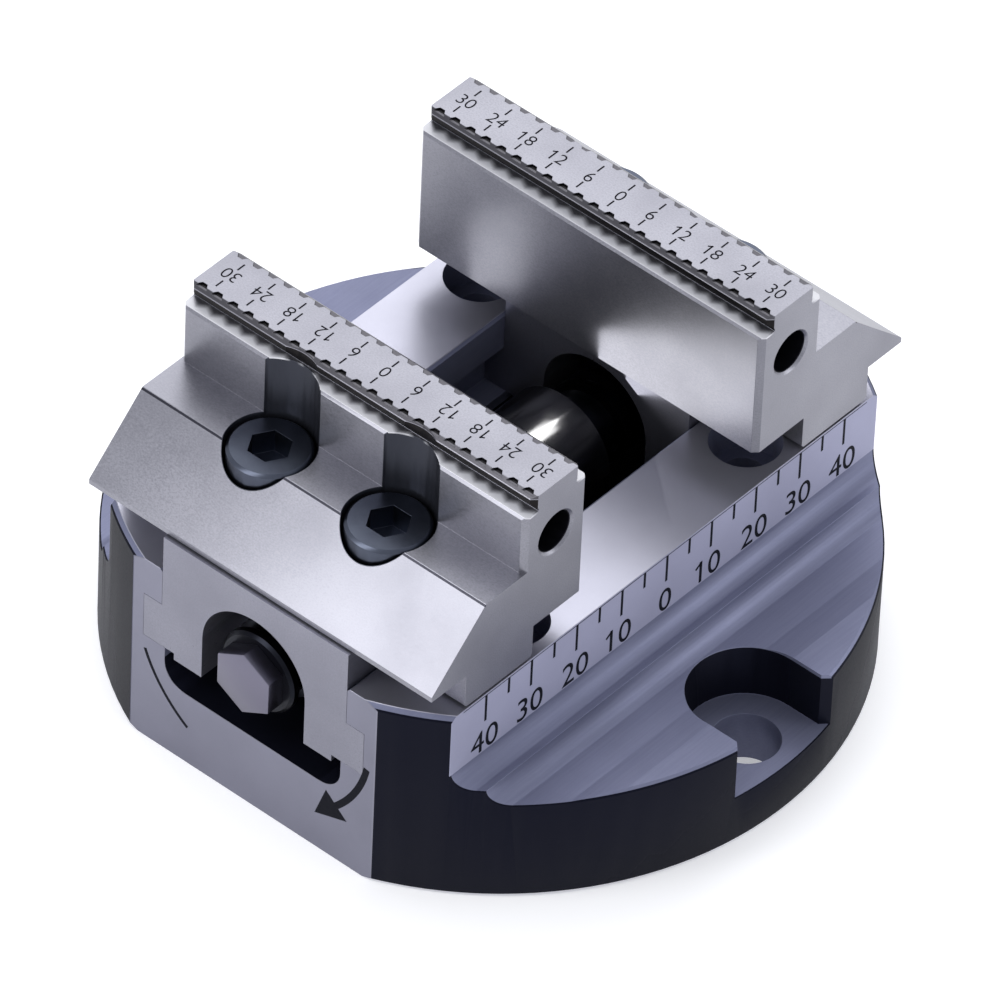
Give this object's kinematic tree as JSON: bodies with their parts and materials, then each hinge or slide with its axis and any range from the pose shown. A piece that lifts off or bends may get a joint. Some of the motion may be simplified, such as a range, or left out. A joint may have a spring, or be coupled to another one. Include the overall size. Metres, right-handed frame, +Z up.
{
  "type": "five-axis machine vise",
  "caption": "Round self-centring machine vise: T-slides driven by an opposed-thread spindle between two rails, each with a bolted jaw with serrated grip lips.",
  "frame": {"origin": "centre of the round base on its underside, on the vertical axis of the bearing block", "axes": "+Z up, spindle along Y with the closing arrow at -Y, +X across the jaws towards the rail with the visible scale"},
  "size_m": [0.116, 0.1106, 0.068],
  "materials": {
    "base_steel": "hardened and ground steel, satin",
    "slide_steel": "ground steel, satin",
    "jaw_steel": "hardened and ground steel, fine grain",
    "blackened_steel": "polished black oxide",
    "screw_steel": "burnished dark steel",
    "nut_steel": "phosphated steel",
    "pin_steel": "hardened and ground steel",
    "bush_bronze": "turned bearing bronze",
    "wiper_rubber": "moulded matt"
  },
  "bodies": {
    "base": {"base_body": "base_steel", "bearing_block": "blackened_steel", "thrust_fork": "pin_steel", "front_bush": "bush_bronze", "rear_bush": "bush_bronze", "front_wiper": "wiper_rubber", "rear_wiper": "wiper_rubber", "block_screws": "screw_steel"},
    "spindle": {"spindle": "blackened_steel"},
    "front_carriage": {"front_slide": "slide_steel", "front_nut": "nut_steel", "front_nut_lock_screw": "screw_steel", "front_jaw": "jaw_steel", "front_jaw_dowel": "pin_steel", "front_jaw_screws": "screw_steel"},
    "rear_carriage": {"rear_slide": "slide_steel", "rear_nut": "nut_steel", "rear_nut_lock_screw": "screw_steel", "rear_jaw": "jaw_steel", "rear_jaw_dowel": "pin_steel", "rear_jaw_screws": "screw_steel"}
  },
  "joints": [
    {"name": "spindle_turn", "type": "hinge", "parent": "base", "child": "spindle", "pos_m": [0, 0, 0.026], "axis": [0, 1, 0], "range_deg": [-1440, 1800]},
    {"name": "front_jaw_travel", "type": "slide", "parent": "base", "child": "front_carriage", "axis": [0, 1, 0], "range_m": [-0.012, 0.015]},
    {"name": "rear_jaw_travel", "type": "slide", "parent": "base", "child": "rear_carriage", "axis": [0, -1, 0], "range_m": [-0.012, 0.015]}
  ],
  "couplings": [
    {"joint": "spindle_turn", "follows": "front_jaw_travel", "rad_per_m": 2094.4},
    {"joint": "rear_jaw_travel", "follows": "front_jaw_travel", "ratio": 1}
  ]
}
